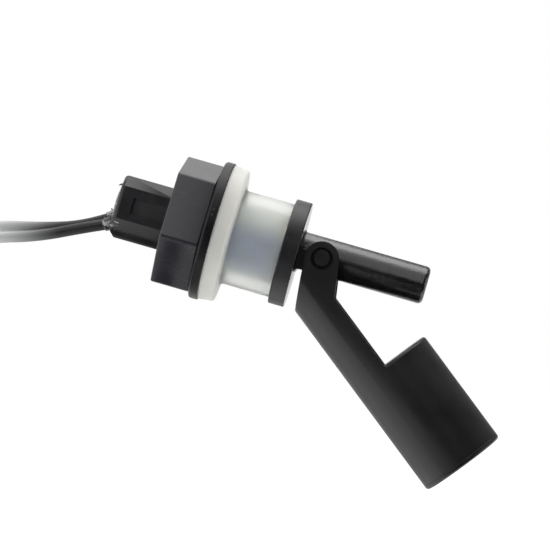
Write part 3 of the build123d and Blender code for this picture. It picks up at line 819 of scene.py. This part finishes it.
def makeGlueMass(values):
    # a thin pool on the stem's end, a collar with two lips round each lead, the tab that the glue pulled and
    # its smear round the block's lower edge
    made = bmesh.new()
    for key in ("pool", "tab", "web"):
        addBlob(made, **values[key])
    for side, route, fall in values["leads"]:
        x, z = leadValues[route][0]
        root = Vector((x, side * leadValues["apart"], z))
        way = Vector((-math.cos(math.radians(fall)), 0, -math.sin(math.radians(fall))))
        addBlob(made, root + way * values["collarOut"], values["collar"], fall)
        for out, reach in values["lips"]:
            addBlob(made, root + way * out, (values["lipThick"], reach, reach), fall)
    noise.seed_set(values["rippleSeed"])  # without it the ripple's place changes from run to run
    for vert in made.verts:
        vert.co += noise.noise_vector(vert.co * values["rippleScale"]) * values["ripple"]
        vert.co.x = min(vert.co.x, values["face"])
    for smear in values["smears"]:
        addBlob(made, **smear)
    return made


exitGlue = keepPiece("exitGlue", makeGlueMass(glueValues), "sensor_body", [hotGlue], ["exit_glue"],
                     smooth=glueValues["smooth"], flatWeights=False)
fused = exitGlue.modifiers.new("fused", "REMESH")
fused.mode = "VOXEL"
fused.voxel_size = glueValues["voxel"] * mm
fused.use_smooth_shade = True
relaxed = exitGlue.modifiers.new("relaxed", "SMOOTH")
relaxed.iterations = glueValues["smoothing"]
print("glue made")


# inner pieces keep their CAD shape

innerFinishes = {
    "float_magnet": ferrite, "reed_glass": reedGlass, "reed_blade_rear": bladeMetal,
    "reed_blade_front": bladeMetal, "upper_core": tinnedCopper, "lower_core": tinnedCopper,
    "solder_joints": solderMetal, "joint_sleeves": tiePlastic, "upper_lead_root": leadVinyl,
    "lower_lead_root": leadVinyl, "potting_resin": castResin,
}
for node, finish in innerFinishes.items():
    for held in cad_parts[node].material_slots:
        held.link = "OBJECT"
        held.material = finish
print("inner pieces finished")


# studio

studioValues = {
    "floorHeight": -110,
    "floorRadius": 6000,
    "floorSides": 96,
    "floorColour": (0.8, 0.8, 0.8),
    "floorLift": 0.45,
    "camSide": 0.5,
    "farSide": 1.0,
    "sideChange": (-0.7, 0.5),
    "topLamp": {"at": (-50, 120, 620), "size": (700, 600), "power": 2.2},
    "cards": [
        {"line": [(-300, -100), (-450, -100), (-620, 130)], "width": (-260, 1100), "tone": 0.012},
        {"line": [(-50, -100), (-300, -100)], "width": (5, 1100), "tone": 0.012},
        {"line": [(-620, 130), (-620, 1300)], "width": (130, 1100), "tone": 0.012},
        {"line": [(-620, 900), (1200, 900)], "width": (420, 1500), "tone": 0.1},
        {"line": [(2, -23), (-24, -23)], "width": (-13.8, -9.8), "tone": 0.012},
        {"line": [(-70, -10), (-70, -38), (-42, -60)], "width": (-24, 0), "tone": 0.012},
        {"line": [(-60, 5), (-60, 60)], "width": (-9.9, 14), "tone": 0.012},
        {"line": [(-30, -25), (40, -25)], "width": (-26, 1), "tone": 0.88},
        {"line": [(50, -106), (700, -106)], "width": (-700, 700), "tone": 0.6},
        {"line": [(300, 60), (300, 600)], "width": (6, 900), "tone": 0.35},
    ],
}


def seenDirectly(tree):
    # 1 for rays that look at the backdrop straight, in a gloss or through something clear
    ray = addNode(tree, "ShaderNodeLightPath")
    seen = joined(tree, ray.outputs["Is Camera Ray"], ray.outputs["Is Glossy Ray"], "MAXIMUM")
    return joined(tree, seen, ray.outputs["Is Transmission Ray"], "MAXIMUM")


def plainPaint(name, colour):
    # matt paint, given back with its node tree and its shader
    paint = bpy.data.materials.new(name)
    paint.use_nodes = True
    tree = paint.node_tree
    tree.nodes.remove(tree.nodes["Principled BSDF"])
    matt = addNode(tree, "ShaderNodeBsdfDiffuse", {"Color": (*colour, 1)})
    tree.links.new(matt.outputs[0], tree.nodes["Material Output"].inputs["Surface"])
    return paint, tree, matt


def makeFloor(values):
    made = bmesh.new()
    bmesh.ops.create_circle(made, cap_ends=True, segments=values["floorSides"],
                            radius=values["floorRadius"] * mm)
    bmesh.ops.translate(made, vec=(0, 0, values["floorHeight"] * mm), verts=made.verts[:])
    floor = linkedItem("floor", meshFrom("floor", made))
    paint, tree, matt = plainPaint("floorPaint", values["floorColour"])
    lift = joined(tree, seenDirectly(tree), values["floorLift"], "MULTIPLY")
    glow = addNode(tree, "ShaderNodeEmission", None, {"Strength": lift})
    both = addNode(tree, "ShaderNodeAddShader", None, {0: matt.outputs[0], 1: glow.outputs[0]})
    tree.links.new(both.outputs[0], tree.nodes["Material Output"].inputs["Surface"])
    floor.data.materials.append(paint)


def makeCard(values):
    # a dark, grey or pale card, which only glossy surfaces see
    left, right = values["width"]
    made = bmesh.new()
    verts = [made.verts.new((left * mm, y * mm, z * mm)) for y, z in values["line"]]
    edges = [made.edges.new(pair) for pair in zip(verts, verts[1:])]
    grown = bmesh.ops.extrude_edge_only(made, edges=edges)["geom"]
    bmesh.ops.translate(made, vec=((right - left) * mm, 0, 0), verts=newVerts(grown))
    card = linkedItem("card", meshFrom("card", made))
    card.data.materials.append(plainPaint("cardPaint", (values["tone"],) * 3)[0])
    for way in ("camera", "diffuse", "transmission", "shadow", "volume_scatter"):
        setattr(card, f"visible_{way}", False)


def addSoftbox(name, values):
    data = bpy.data.lights.new(name, "AREA")
    data.shape = "RECTANGLE"
    data.size, data.size_y = (length * mm for length in values["size"])
    data.energy = values["power"]
    lamp = linkedItem(name, data)
    at = Vector(values["at"]) * mm
    aim = Vector(cameraValues["aim"]) * mm - at
    lamp.matrix_world = Matrix.Translation(at) @ aim.to_track_quat("-Z", "Y").to_matrix().to_4x4()


def makeWorld(values):
    # a white tent that is less bright on the camera's side, and plain white where it is looked at
    world = bpy.data.worlds.new("studio")
    bpy.context.scene.world = world
    world.use_nodes = True
    tree = world.node_tree
    back = tree.nodes["Background"]
    place = addNode(tree, "ShaderNodeTexCoord").outputs["Generated"]
    axes = addNode(tree, "ShaderNodeSeparateXYZ", None, {0: place})
    shade = ranged(tree, axes.outputs["Y"], values["camSide"], values["farSide"], *values["sideChange"],
                   interpolation_type="SMOOTHSTEP")
    tone = addNode(tree, "ShaderNodeMix", {3: 1.0}, {0: seenDirectly(tree), 2: shade}, data_type="FLOAT")
    tree.links.new(tone.outputs[0], back.inputs["Strength"])
    back.inputs["Color"].default_value = (1, 1, 1, 1)


makeFloor(studioValues)
for cardValues in studioValues["cards"]:
    makeCard(cardValues)
addSoftbox("topLamp", studioValues["topLamp"])
makeWorld(studioValues)
bpy.context.scene.view_settings.view_transform = "Standard"
print("studio made")
